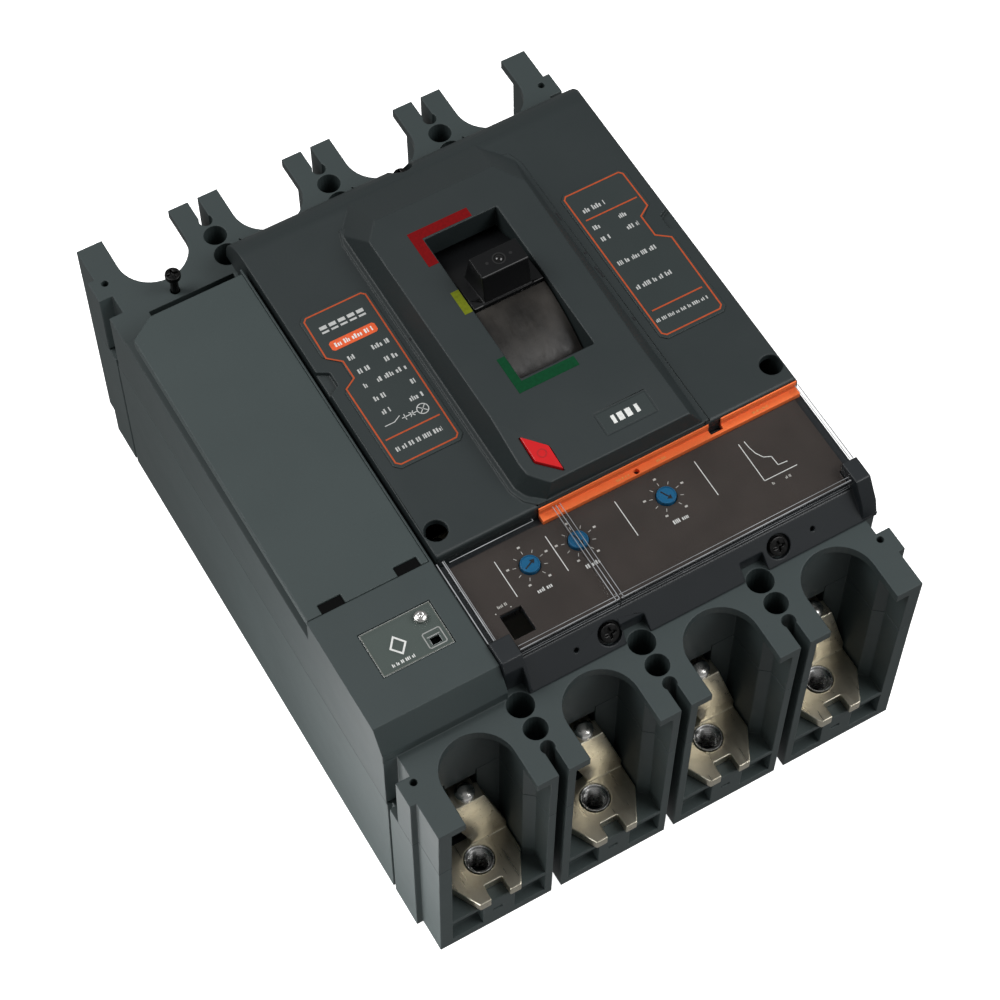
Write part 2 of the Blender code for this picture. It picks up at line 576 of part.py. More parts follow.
def terminal(name, x, side):
    """A terminal bar: a shaped pad with two prongs, flat on the line side and stepped on the load side."""
    half = [(3.4, 122.3), (3.6, 128.0), (7.8, 128.0), (14.1, 116.4), (14.1, 104.4)]
    if side > 0:
        half += [(BAR_HALF, 104.0), (BAR_HALF, 46.0)]
    outline = half + [(-u, v) for u, v in reversed(half)]
    made = solid(name, [(x + u, side * v) for u, v in outline], BAR_BOTTOM, BAR_TOP)
    if side < 0:
        low = BAR_BOTTOM + 1.0
        face = [(14.1, low), (14.1, 27.0), (5.7, TAP_TOP), (-5.7, TAP_TOP)]
        face += [(-3.0, 36.0), (0.6, 26.0), (-0.6, low)]
        riser = solid("riser", [(x + u, v) for u, v in face], -107.4, -104.4, "Y")
        platform = box("platform", (x - 5.7, x + 5.7), (-105.0, -101.6), (TAP_BOTTOM, TAP_TOP))
        tap = box("tap", (x - 4.6, x + 4.6), (-102.4, -20.0), (TAP_BOTTOM, TAP_TOP))
        join(made, riser, platform, tap)
        cut(made, rod("bolt_hole", (x, BOLT_Y), 2.3, 40.0, 70.0, steps=16))
    else:
        join(made, box("contact_pad", (x - 5.5, x + 5.5), (50.0, 61.0), (BAR_TOP - 1.0, BAR_TOP + 2.6)))
    cut(made, rod("stud_hole", (x, side * STUD_Y), STUD_HOLE_RADIUS, 10.0, 40.0, steps=24))
    return finish(made, NICKEL)


def conductors():
    for pole, x in POLES.items():
        terminal("line_terminal_" + pole, x, 1)
        terminal("load_terminal_" + pole, x, -1)
        bolt = rod("terminal_bolt_" + pole, (x, BOLT_Y), 2.0, 50.0, 58.0, steps=16)
        join(bolt, rod("head", (x, BOLT_Y), 3.4, TAP_TOP + GAP, 61.0, steps=20))
        finish(bolt, STEEL)


def contact_system():
    """Moving arms on one insulating crossbar; their noses close onto the line terminals' pads."""
    bar = rod("crossbar", (CROSSBAR_Y, CROSSBAR_Z), CROSSBAR_RADIUS, -86.0, 86.0, "X", steps=20)
    finish(bar, FIBRE, (0.0, CROSSBAR_Y, CROSSBAR_Z))
    top = CROSSBAR_Z + CROSSBAR_RADIUS + 0.4
    outline = [(-12.0, top), (10.0, top), (54.0, 41.0), (54.0, 38.0), (62.0, 38.0), (62.0, 45.0)]
    outline += [(12.0, 61.0), (-12.0, 61.0)]
    for pole, x in POLES.items():
        arm = solid("moving_contact_" + pole, outline, x - 4.5, x + 4.5, "X")
        finish(arm, COPPER, (x, CROSSBAR_Y, CROSSBAR_Z))
    outline = [(-2.0, top), (6.0, top), (12.0, 64.0), (7.0, 66.0)]
    link = solid("contact_link", outline, CENTRE_X + 6.4, CENTRE_X + 8.4, "X")
    finish(link, STEEL, (CENTRE_X, CROSSBAR_Y, CROSSBAR_Z))


def arc_chutes():
    for pole, x in POLES.items():
        made = box("arc_chute_" + pole, (x - 14.0, x - 12.6), (70.0, 90.0), (27.0, 62.0))
        wall = box("wall", (x + 12.6, x + 14.0), (70.0, 90.0), (27.0, 62.0))
        plates = []
        for level in range(7):
            z = 30.0 + 4.6 * level
            plates.append(box("plate", (x - 13.0, x + 13.0), (72.0, 89.0), (z, z + 1.2)))
        join(made, *plates)
        join(made, wall)
        finish(made, STEEL)


def current_transformers():
    for pole, x in POLES.items():
        made = box("current_transformer_" + pole, (x - 13.0, x + 13.0), (-80.0, -62.0), (38.0, 72.0))
        cut(made, box("bore", (x - 5.4, x + 5.4), (-90.0, -50.0), (52.8, 57.8)))
        finish(made, CREAM)


def sector(name, half, inner, outer, low, high, steps):
    """A curved wall around the toggle's pivot line; degrees count from upright, load side positive."""
    centre = (PIVOT_Y, PIVOT_Z)
    outline = arc(centre, outer, 90.0 + low, 90.0 + high, steps)
    outline += arc(centre, inner, 90.0 + high, 90.0 + low, steps)
    return solid(name, outline, CENTRE_X - half, CENTRE_X + half, "X")


def toggle():
    """The handle and its shutter close the window; a steel lever inside carries them on the pivot pin."""
    pivot = (CENTRE_X, PIVOT_Y, PIVOT_Z)
    made = sector("toggle_handle", DRUM_HALF, DRUM_RADIUS - 2.4, DRUM_RADIUS, -68.0, 1.6, 16)
    outline = [(22.8, 117.0), (25.0, 131.0), (34.2, 131.0), (37.4, 116.0)]
    join(made, solid("grip", outline, CENTRE_X - 9.0, CENTRE_X + 9.0, "X"))
    finish(made, BLACK, pivot)
    shutter = sector("toggle_shutter", DRUM_HALF, DRUM_RADIUS - 2.5, DRUM_RADIUS - 1.2, 2.2, 60.0, 14)
    finish(shutter, BLACK, pivot)
    lever = sector("operating_lever", 12.6, DRUM_RADIUS - 4.6, DRUM_RADIUS - 2.8, -10.0, 10.0, 4)
    for side in (-1, 1):
        low, high = sorted((CENTRE_X + side * 11.0, CENTRE_X + side * 12.6))
        outline = [(PIVOT_Y - 5.0, PIVOT_Z - 4.0), (PIVOT_Y + 5.0, PIVOT_Z - 4.0)]
        outline += [(PIVOT_Y + 7.0, PIVOT_Z + 46.0), (PIVOT_Y - 7.0, PIVOT_Z + 46.0)]
        join(lever, solid("arm", outline, low, high, "X"))
    cut(lever, rod("pivot_hole", (PIVOT_Y, PIVOT_Z), 2.8, 0.0, 50.0, "X", steps=16))
    finish(lever, STEEL, pivot)
    for side, x in (("left", CENTRE_X - 6.0), ("right", CENTRE_X + 6.0)):
        made = spring("mainspring_" + side, (x, PIVOT_Y), 3.6, 0.7, PIVOT_Z + 7.0, PIVOT_Z + 43.0, 9)
        finish(made, STEEL, pivot)


def spring(name, centre, radius, wire, low, high, turns):
    """A coil along Z with closed ends."""
    steps, sides = 10 * turns, 6
    mesh = bpy.data.meshes.new(name)
    shape = bmesh.new()
    rings = []
    for i in range(steps + 1):
        angle = 2 * math.pi * turns * i / steps
        along = low + (high - low) * i / steps
        ring = []
        for j in range(sides):
            around = 2 * math.pi * j / sides
            out = radius + wire * math.cos(around)
            spot = (centre[0] + out * math.cos(angle), centre[1] + out * math.sin(angle))
            ring.append(shape.verts.new(Vector((*spot, along + wire * math.sin(around))) * MM))
        rings.append(ring)
    for first, second in zip(rings, rings[1:]):
        for j in range(sides):
            k = (j + 1) % sides
            shape.faces.new((first[j], first[k], second[k], second[j]))
    shape.faces.new(rings[0])
    shape.faces.new(rings[-1])
    bmesh.ops.recalc_face_normals(shape, faces=shape.faces)
    shape.to_mesh(mesh)
    shape.free()
    made = bpy.data.objects.new(name, mesh)
    bpy.context.scene.collection.objects.link(made)
    return made


def mechanism():
    """Two side plates tied by spacers and the toggle's pivot pin, with the latched cradle between."""
    outline = [(-20.0, 67.0), (44.0, 67.0), (44.0, 74.0), (34.0, 82.0), (6.0, 82.0)]
    outline += [(-14.0, 88.0), (-20.0, 88.0)]
    made = solid("mechanism_frame", outline, CENTRE_X - 17.0, CENTRE_X - 15.4, "X")
    other = solid("plate", outline, CENTRE_X + 15.4, CENTRE_X + 17.0, "X")
    for y, z, radius in ((-15.0, 70.6, 2.2), (38.0, 70.6, 2.2), (PIVOT_Y, PIVOT_Z, 2.4)):
        join(made, rod("spacer", (y, z), radius, CENTRE_X - 16.6, CENTRE_X + 16.6, "X", steps=16))
    join(made, other)
    finish(made, STEEL)
    outline = [(-18.0, 77.0), (-14.0, 73.4), (36.0, 73.4), (40.0, 76.0), (30.0, 81.0), (-10.0, 81.0)]
    finish(solid("cradle_latch", outline, CENTRE_X + 13.2, CENTRE_X + 14.9, "X"), STEEL)


def trip_parts():
    """The bar that the button and the actuator push, the actuator, and the trip unit's circuit board."""
    made = rod("trip_bar", (TRIP_BAR_Y, TRIP_BAR_Z), 2.5, -38.0, 82.0, "X", steps=16)
    join(made, box("finger", (-2.4, 3.6), (-43.6, TRIP_BAR_Y), (TRIP_BAR_Z + 1.4, TRIP_BAR_Z + 3.9)))
    join(made, box("finger", (52.4, 59.6), (-37.0, TRIP_BAR_Y), (TRIP_BAR_Z - 6.0, TRIP_BAR_Z + 1.0)))
    finish(made, CREAM, (0.6, TRIP_BAR_Y, TRIP_BAR_Z))
    made = box("trip_actuator", (45.0, 67.0), (-84.0, -56.0), (75.0, 92.0))
    join(made, rod("plunger", (56.0, TRIP_BAR_Z - 2.0), 1.8, -57.0, -38.6, "Y", steps=12))
    finish(made, STEEL)
    made = box("trip_circuit_board", (-27.0, 82.0), (-85.0, -55.0), (94.6, 96.2))
    for x in DIALS.values():
        cut(made, rod("stem_hole", (x, DIAL_Y), 2.1, 90.0, 100.0, steps=16))
    finish(made, BOARD)


def remove_startup_objects():
    for made in list(bpy.data.objects):
        bpy.data.objects.remove(made)


def main():
    remove_startup_objects()
    base_housing()
    main_case()
    neutral_pole_cover()
    front_cover()
    label_plates()
    trip_button()
    trip_unit_housing()
    trip_faceplate()
    trip_trim_strip()
    adjustment_dials()
    clear_lids()
    neutral_window()
    screws()
    conductors()
    contact_system()
    arc_chutes()
    current_transformers()
    toggle()
    mechanism()
    trip_parts()


main()
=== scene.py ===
"""The four-pole molded case breaker as it looks: materials, printed marks, fine pieces, lights and camera.

Sizes are millimetres in the CAD frame: +X across the poles from the neutral, +Y to the line side, +Z out.
"""

import json
import math
import random

import bmesh
import bpy
from mathutils import Matrix, Vector


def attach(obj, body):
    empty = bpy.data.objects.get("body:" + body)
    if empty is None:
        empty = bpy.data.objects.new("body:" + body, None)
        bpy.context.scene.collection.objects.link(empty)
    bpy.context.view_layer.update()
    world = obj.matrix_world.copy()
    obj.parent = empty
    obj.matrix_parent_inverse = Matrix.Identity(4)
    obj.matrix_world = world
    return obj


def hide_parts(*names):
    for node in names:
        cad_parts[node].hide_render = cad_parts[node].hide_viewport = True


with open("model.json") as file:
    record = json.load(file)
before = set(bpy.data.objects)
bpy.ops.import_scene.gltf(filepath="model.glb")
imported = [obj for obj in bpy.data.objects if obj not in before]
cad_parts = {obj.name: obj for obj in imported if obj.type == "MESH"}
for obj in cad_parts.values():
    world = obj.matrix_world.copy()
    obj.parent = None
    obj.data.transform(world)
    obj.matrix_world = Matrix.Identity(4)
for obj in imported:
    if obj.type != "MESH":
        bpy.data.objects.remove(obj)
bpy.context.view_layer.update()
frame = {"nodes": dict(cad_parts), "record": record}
NODES = frame["nodes"]
MM = 0.001

# Camera, placed in metres
FOCAL_MM = 102.93
CAMERA_AT = (-0.2555, -0.45071, 0.90333)
CAMERA_RIGHT = (0.865738, -0.500496, 0.000916)
CAMERA_DOWN = (-0.429221, -0.743388, -0.512975)
CAMERA_FORWARD = (0.257423, 0.443709, -0.858403)

# Surfaces that prints and fittings lie on
LABEL_TOP = 109.84
FRAME_TOP = 120.02
SLOPE_START = -19.0
SLOPE_DEGREES = 5.3
PLATE_TOP = 104.02
NEUTRAL_TOP = 107.5
WINDOW_TOP = NEUTRAL_TOP - 0.18
COVER_TOP = 110.24
SLOPE_TOP = 120.0
GRIP_TOP = 131.0
TRIM_TOP = 105.42
INK = 0.05

POLES = {"n": -67.5, "l1": -22.5, "l2": 22.5, "l3": 67.5}
DIAL_Y = -63.5
DIALS = {"overload_dial": (-19.7, 25.0), "short_delay_dial": (-1.6, -75.0), "instant_dial": (31.8, -62.0)}
GRIP_AT = (22.5, 29.5)
BUTTON_AT = (0.2, -36.9)
SEAL_AT = (-60.3, -64.3)
FINGER_SLOTS = (-82.5, -55.0)
LID_TOP = 108.2
LID_HINGE_Y, LID_RIM_Y, LID_LIP_Y = -50.4, -83.5, -90.4
STUD_Y = 113.4
BAR_TOP = 23.6
BOLT_Y = -104.0


# ---------------------------------------------------------------- materials


class Look:
    """A procedural material made up of a Principled shader and the nodes that feed it."""

    def __init__(self, name, colour, roughness, metallic=0.0):
        self.material = bpy.data.materials.new(name)
        self.material.use_nodes = True
        self.tree = self.material.node_tree
        self.shader = self.tree.nodes["Principled BSDF"]
        self.set("Base Color", (*colour, 1.0))
        self.set("Roughness", roughness)
        self.set("Metallic", metallic)
        self.place = self.node("ShaderNodeTexCoord").outputs["Object"]
        self.rounded = None

    def set(self, socket, value):
        self.shader.inputs[socket].default_value = value

    def node(self, kind, **settings):
        made = self.tree.nodes.new(kind)
        for name, value in settings.items():
            setattr(made, name, value)
        return made

    def feed(self, node, **values):
        for name, value in values.items():
            socket = node.inputs[name.replace("_", " ")]
            if isinstance(value, bpy.types.NodeSocket):
                self.tree.links.new(value, socket)
            else:
                socket.default_value = value
        return node

    def noise(self, scale, detail=2.0, roughness=0.5, stretch=None):
        """Noise in the piece's own metres; stretch scales X, Y and Z."""
        place = self.place
        if stretch:
            mapping = self.feed(self.node("ShaderNodeMapping"), Vector=place, Scale=stretch)
            place = mapping.outputs["Vector"]
        made = self.node("ShaderNodeTexNoise")
        self.feed(made, Vector=place, Scale=scale, Detail=detail, Roughness=roughness)
        return made.outputs["Fac"]

    def remap(self, value, low, high, to_low=0.0, to_high=1.0):
        made = self.node("ShaderNodeMapRange")
        self.tree.links.new(value, made.inputs["Value"])
        for name, number in (("From Min", low), ("From Max", high), ("To Min", to_low), ("To Max", to_high)):
            made.inputs[name].default_value = number
        return made.outputs["Result"]

    def mix(self, share, first, second):
        made = self.node("ShaderNodeMix", data_type="RGBA")
        for socket, value in ((made.inputs[0], share), (made.inputs[6], first), (made.inputs[7], second)):
            if isinstance(value, bpy.types.NodeSocket):
                self.tree.links.new(value, socket)
            else:
                socket.default_value = value if isinstance(value, float) else (*value[:3], 1.0)
        return made.outputs[2]

    def link(self, value, socket):
        self.tree.links.new(value, self.shader.inputs[socket])

    def bump(self, *layers):
        """Each layer is (height, strength, distance in mm)."""
        normal = self.rounded
        for height, strength, distance in layers:
            made = self.node("ShaderNodeBump")
            self.feed(made, Height=height, Strength=strength, Distance=distance * MM)
            if normal:
                self.tree.links.new(normal, made.inputs["Normal"])
            normal = made.outputs["Normal"]
        self.link(normal, "Normal")

    def edges(self, radius=0.6):
        """1 on sharp edges, falling to 0 on flat faces."""
        rounded = self.feed(self.node("ShaderNodeBevel", samples=4), Radius=radius * MM)
        self.rounded = rounded.outputs["Normal"]
        flat = self.node("ShaderNodeNewGeometry").outputs["Normal"]
        dot = self.node("ShaderNodeVectorMath", operation="DOT_PRODUCT")
        self.tree.links.new(self.rounded, dot.inputs[0])
        self.tree.links.new(flat, dot.inputs[1])
        return self.remap(dot.outputs["Value"], 0.995, 0.86)


def shade(colour, factor):
    return tuple(min(1.0, c * factor) for c in colour)


def moulded(name, colour, roughness=0.52, grain=1.0, speck=0.5, edge_lightening=1.0, shine=0.5):
    """Glass-filled moulding: mottled colour, fine grain, and paler edges that are partly worn and partly
    painted highlight.
    """
    look = Look(name, colour, roughness)
    look.set("Specular IOR Level", shine)
    cloud = look.remap(look.noise(28.0, 4.0), 0.3, 0.7)
    tone = look.mix(cloud, shade(colour, 0.97), shade(colour, 1.03))
    specks = look.remap(look.noise(1500.0, 1.0), 0.66, 0.78, 0.0, 0.30 * speck)
    tone = look.mix(specks, tone, shade(colour, 1.9))
    dark = look.remap(look.noise(900.0, 2.0), 0.36, 0.26, 0.0, 0.35 * speck)
    tone = look.mix(dark, tone, shade(colour, 0.55))
    # Paler edges from the bevel mask times rub noise: partly real wear, partly painted highlight where edges
    # catch light.
    wear_and_highlight = look.node("ShaderNodeMath", operation="MULTIPLY")
    look.tree.links.new(look.edges(), wear_and_highlight.inputs[0])
    edge_rub_and_sheen = look.remap(look.noise(240.0, 3.0), 0.35, 0.75, 0.12 * edge_lightening, 0.55 * edge_lightening)
    look.tree.links.new(edge_rub_and_sheen, wear_and_highlight.inputs[1])
    look.link(look.mix(wear_and_highlight.outputs[0], tone, shade(colour, 1.75)), "Base Color")
    rough = look.remap(look.noise(60.0, 4.0), 0.3, 0.7, roughness - 0.02, roughness + 0.03)
    look.link(rough, "Roughness")
    look.bump((look.noise(2600.0, 2.0), 0.10 * grain, 0.10), (look.noise(420.0, 3.0), 0.05 * grain, 0.20))
    return look.material


def gloss(name, colour, roughness=0.28, cloud=0.1, rub=1.0, shine=0.5):
    """Smooth shiny plastic with faint moulding ripples and fine rub marks."""
    look = Look(name, colour, roughness)
    look.set("Specular IOR Level", shine)
    tone = look.remap(look.noise(70.0, 4.0), 0.3, 0.7)
    look.link(look.mix(tone, shade(colour, 1.0 - cloud), shade(colour, 1.0 + cloud)), "Base Color")
    rubs = look.noise(500.0, 3.0, 0.6, (1.0, 0.15, 1.0))
    look.link(look.remap(rubs, 0.35, 0.75, roughness - 0.04 * rub, roughness + 0.08 * rub), "Roughness")
    look.bump((look.noise(140.0, 2.0), 0.03, 0.20), (look.noise(2200.0, 1.0), 0.03, 0.05))
    return look.material


def metal(name, colour, roughness=0.3, stain=None, brushing=1.0):
    """Plated or bright metal: fine brushing, stains, and brighter edges that are partly rubbed wear and
    partly painted highlight.
    """
    look = Look(name, colour, roughness, 1.0)
    cloud = look.remap(look.noise(95.0, 5.0, 0.6), 0.35, 0.68)
    tone = look.mix(cloud, shade(colour, 0.90), shade(colour, 1.10))
    if stain:
        patches = look.remap(look.noise(210.0, 5.0, 0.65), 0.56, 0.74, 0.0, 0.35)
        tone = look.mix(patches, tone, stain)
    # Brighter edges from the bevel mask: partly rubbed wear, partly painted highlight.
    look.link(look.mix(look.edges(0.4), tone, shade(colour, 1.5)), "Base Color")
    lines = look.noise(900.0, 3.0, 0.6, (1.0, 0.08, 1.0))
    spread = 0.12 * brushing
    look.link(look.remap(lines, 0.3, 0.7, max(0.05, roughness - spread), roughness + spread), "Roughness")
    look.bump((lines, 0.06 * brushing, 0.05), (look.noise(110.0, 2.0), 0.02 + 0.03 * brushing, 0.25))
    return look.material


def threaded(name, colour, roughness, crest, root):
    """Steel with painted shade in its thread roots; crest and root are radii in mm about the piece's own
    axis.
    """
    look = Look(name, colour, roughness, 1.0)
    across = look.node("ShaderNodeVectorMath", operation="MULTIPLY")
    across.inputs[1].default_value = (1.0, 1.0, 0.0)
    look.tree.links.new(look.place, across.inputs[0])
    reach = look.node("ShaderNodeVectorMath", operation="LENGTH")
    look.tree.links.new(across.outputs[0], reach.inputs[0])
    # Painted shade: the colour falls to a tenth in the thread roots, between crest and root radius.
    low = look.remap(reach.outputs["Value"], crest * MM, root * MM, 0.0, 1.0)
    tone = look.mix(low, shade(colour, 1.1), shade(colour, 0.10))
    rim = look.remap(reach.outputs["Value"], root * MM, (root + 0.04) * MM, 0.0, 1.0)
    look.link(look.mix(rim, tone, shade(colour, 1.1)), "Base Color")
    look.link(look.remap(look.noise(700.0, 2.0), 0.3, 0.7, roughness - 0.06, roughness + 0.08), "Roughness")
    look.bump((look.noise(900.0, 2.0), 0.03, 0.05))
    return look.material


def acrylic(name, tint=(0.02, 0.02, 0.02), film=0.0, painted_edge_highlights=True):
    """Clear plastic: see-through faces with a faint mirror and haze, and if wanted pale edges, a painted
    highlight where light catches the cut edges.
    """
    look = Look(name, tint, 0.12)
    see_through = look.node("ShaderNodeBsdfTransparent")
    see_through.inputs["Color"].default_value = (0.985, 0.985, 0.985, 1.0)
    facing = look.node("ShaderNodeLayerWeight").outputs["Facing"]
    mirror = look.remap(facing, 0.35, 1.0, 0.025, 0.50)
    total = look.node("ShaderNodeMath", operation="ADD", use_clamp=True)
    look.tree.links.new(mirror, total.inputs[0])
    haze = look.remap(look.noise(45.0, 3.0), 0.35, 0.70, film, film + 0.015)
    look.tree.links.new(haze, total.inputs[1])
    if painted_edge_highlights:
        # Painted highlight: the bevel mask turns the cut edges pale and less see-through.
        painted_edge_highlight = look.edges(0.25)
        look.link(look.mix(painted_edge_highlight, tint, (0.80, 0.82, 0.84)), "Base Color")
        share = look.node("ShaderNodeMath", operation="ADD", use_clamp=True)
        look.tree.links.new(total.outputs[0], share.inputs[0])
        look.tree.links.new(look.remap(painted_edge_highlight, 0.0, 1.0, 0.0, 0.60), share.inputs[1])
        total = share
    blend = look.node("ShaderNodeMixShader")
    look.tree.links.new(total.outputs[0], blend.inputs[0])
    look.tree.links.new(see_through.outputs[0], blend.inputs[1])
    look.tree.links.new(look.shader.outputs[0], blend.inputs[2])
    output = look.tree.nodes["Material Output"]
    look.tree.links.new(blend.outputs[0], output.inputs["Surface"])
    return look.material


def ink(name, colour, roughness=0.45, shine=0.5):
    """Screen-printed ink, slightly uneven in colour and cover; the same flat colour also makes the painted
    shade and painted highlight marks.
    """
    look = Look(name, colour, roughness)
    look.set("Specular IOR Level", shine)
    tone = look.remap(look.noise(900.0, 3.0, 0.6), 0.35, 0.65)
    look.link(look.mix(tone, shade(colour, 0.86), shade(colour, 1.06)), "Base Color")
    look.bump((look.noise(1800.0, 2.0), 0.12, 0.03))
    return look.material


SLATE = (0.036, 0.050, 0.050)
COVER = (0.0157, 0.0226, 0.0235)

LOOKS = {
    "housing": moulded("slate_moulding", SLATE),
    # Painted shade: the same slate moulding as the base, made a little darker to stand for the shade on the
    # case's deck.
    "main_case": moulded("case_moulding_shaded", (0.0325, 0.0450, 0.0455)),
    "front_cover": moulded("cover_moulding", COVER, 0.50),
    "label": moulded("label_film", (0.0205, 0.0290, 0.0290), 0.46, 0.5, 0.4, 0.3),
    "trip_housing": moulded("trip_moulding", (0.0100, 0.0130, 0.0155), 0.42, 0.8, 0.4, 0.8),
    "faceplate": gloss("faceplate_film", (0.043, 0.035, 0.031), 0.34, 0.12, 0.15),
    "orange_trim": gloss("orange_plastic", (0.98, 0.190, 0.045), 0.45, 0.05, 0.3),
    "clear_plastic": acrylic("clear_acrylic", painted_edge_highlights=False),
    "neutral_window": acrylic("window_acrylic", (0.105, 0.130, 0.120), 0.55),
    "black_screws": metal("blackened_steel", (0.030, 0.030, 0.030), 0.34),
    "bright_steel": metal("bright_steel", (0.80, 0.79, 0.76), 0.24, None, 0.3),
    "inner_steel": metal("plain_steel", (0.40, 0.40, 0.39), 0.38),
    "nickel": metal("plated_copper", (0.70, 0.65, 0.53), 0.31, (0.46, 0.37, 0.24), 0.4),
    "copper": metal("bare_copper", (0.62, 0.30, 0.17), 0.34),
    "crossbar_plastic": moulded("red_brown_moulding", (0.24, 0.07, 0.04), 0.5),
    "transformer_resin": moulded("cast_resin", (0.50, 0.45, 0.33), 0.55, 0.6, 0.3),
    "circuit_board": gloss("board_lacquer", (0.012, 0.12, 0.045), 0.35),
    "toggle_black": moulded("toggle_moulding", (0.0040, 0.0043, 0.0048), 0.36, 0.7, 0.5, 0.8, 0.28),
    "shutter_gloss": gloss("shutter_plastic", (0.020, 0.018, 0.016), 0.38, 0.75, 1.6, 0.30),
    "red_button": gloss("red_plastic", (0.56, 0.007, 0.010), 0.34, 0.05, 0.5),
    "blue_dial": gloss("blue_plastic", (0.002, 0.105, 0.235), 0.40, 0.06, 0.4),
}
BORE_ROOT, THREAD_DEPTH = 4.45, 0.85
THREADED = threaded("threaded_steel", (0.78, 0.78, 0.77), 0.26, BORE_ROOT - THREAD_DEPTH, BORE_ROOT)
INKS = {
    "white": ink("white_ink", (0.72, 0.73, 0.71)),
    "pale": ink("pale_ink", (0.50, 0.49, 0.46)),
    "faint": ink("faint_edge_highlight", (0.135, 0.145, 0.125)),
    "soft": ink("soft_ink", (0.30, 0.31, 0.30)),
    "label_white": ink("label_white_ink", (0.47, 0.48, 0.47)),
    "orange": ink("orange_ink", (0.72, 0.105, 0.026)),
    "orange_line": ink("orange_line_ink", (0.43, 0.072, 0.020), 0.5, 0.3),
    "red": ink("red_ink", (0.160, 0.002, 0.003), 0.5, 0.12),
    "yellow": ink("yellow_ink", (0.135, 0.160, 0.008), 0.5, 0.12),
    "green": ink("green_ink", (0.002, 0.047, 0.016), 0.5, 0.12),
    "pale_orange": ink("pale_orange_ink", (0.86, 0.42, 0.12)),
    "deep_red": ink("deep_red_ink", (0.42, 0.006, 0.008)),
    "dark": ink("dark_ink", (0.012, 0.013, 0.015)),
    "hole": ink("painted_hole_shade", (0.0012, 0.0012, 0.0015), 0.7),
    "slot": ink("painted_slot_shade", (0.0010, 0.0011, 0.0012), 0.8, 0.1),
    "seam": ink("seam_shade", (0.015, 0.022, 0.023), 0.6),
    "painted_edge_highlight": gloss("clear_painted_edge_highlight", (0.30, 0.31, 0.32), 0.25, 0.35),
    "lit_edge": gloss("black_edge_highlight", (0.085, 0.085, 0.085), 0.30, 0.20),
    "rivet": gloss("rivet_gloss", (0.004, 0.004, 0.004), 0.07),
}


# ---------------------------------------------------------------- mesh helpers


def slab(shape, outline, low, high):
    """Adds a closed prism over an outline to the shape."""
    lower, upper = ([shape.verts.new(Vector((x, y, z)) * MM) for x, y in outline] for z in (low, high))
    shape.faces.new(lower)
    shape.faces.new(upper)
    count = len(outline)
    for i in range(count):
        j = (i + 1) % count
        shape.faces.new((lower[i], lower[j], upper[j], upper[i]))


def block(shape, across, along, low, high):
    """A slab over the rectangle with across as its X ends and along as its Y ends."""
    outline = [(across[0], along[0]), (across[1], along[0]), (across[1], along[1]), (across[0], along[1])]
    slab(shape, outline, low, high)


def patch(shape, across, along, z):
    """A printed rectangle."""
    block(shape, across, along, z, z + INK)


def bar(shape, start, end, width, z):
    """A printed stroke from start to end."""
    along = (Vector(end) - Vector(start)).normalized()
    side = Vector((-along.y, along.x)) * (width / 2)
    outline = [Vector(start) + side, Vector(start) - side, Vector(end) - side, Vector(end) + side]
    slab(shape, [(p.x, p.y) for p in outline], z, z + INK)


def ribbon(shape, points, width, z):
    """A printed closed outline with mitred corners."""
    count = len(points)
    spots = [Vector(p) for p in points]
    sides = []
    for i in range(count):
        before = (spots[i] - spots[i - 1]).normalized()
        after = (spots[(i + 1) % count] - spots[i]).normalized()
        normal = Vector((-before.y - after.y, before.x + after.x)).normalized()
        reach = width / 2 / max(0.4, normal.dot(Vector((-before.y, before.x))))
        sides.append((spots[i] + normal * reach, spots[i] - normal * reach))
    corners = [[Vector((p.x, p.y, level)) for p in pair for level in (z, z + INK)] for pair in sides]
    verts = [[shape.verts.new(corner * MM) for corner in four] for four in corners]
    for i in range(count):
        a, b = verts[i], verts[(i + 1) % count]
        for first, second in ((0, 1), (1, 3), (3, 2), (2, 0)):
            shape.faces.new((a[first], b[first], b[second], a[second]))


def circle(centre, radius, steps=20):
    turns = [2 * math.pi * i / steps for i in range(steps)]
    return [(centre[0] + radius * math.cos(t), centre[1] + radius * math.sin(t)) for t in turns]


def text_bars(shape, left, y, width, height, z, seed):
    """A row of plain upright dashes in word-like groups, in place of lettering."""
    rng = random.Random(seed)
    x = left
    while x < left + width - 0.3:
        word = rng.randint(2, 4)
        for _ in range(word):
            step = min(rng.uniform(0.55, 1.0) * height * 0.62, left + width - x)
            if step < 0.25:
                break
            tall = height * rng.choice((1.0, 1.0, 0.72))
            patch(shape, (x, x + step * 0.62), (y, y + tall), z)
            x += step
        x += height * 0.45


def add(name, shape, look, body="housing", smooth=False):
    """Turns the shape into a piece that rides on a body."""
    bmesh.ops.recalc_face_normals(shape, faces=shape.faces)
    mesh = bpy.data.meshes.new(name)
    shape.to_mesh(mesh)
    shape.free()
    made = bpy.data.objects.new(name, mesh)
    bpy.context.scene.collection.objects.link(made)
    mesh.materials.append(look)
    if smooth:
        for polygon in mesh.polygons:
            polygon.use_smooth = True
        round_off(made, None)
    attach(made, body)
    return made


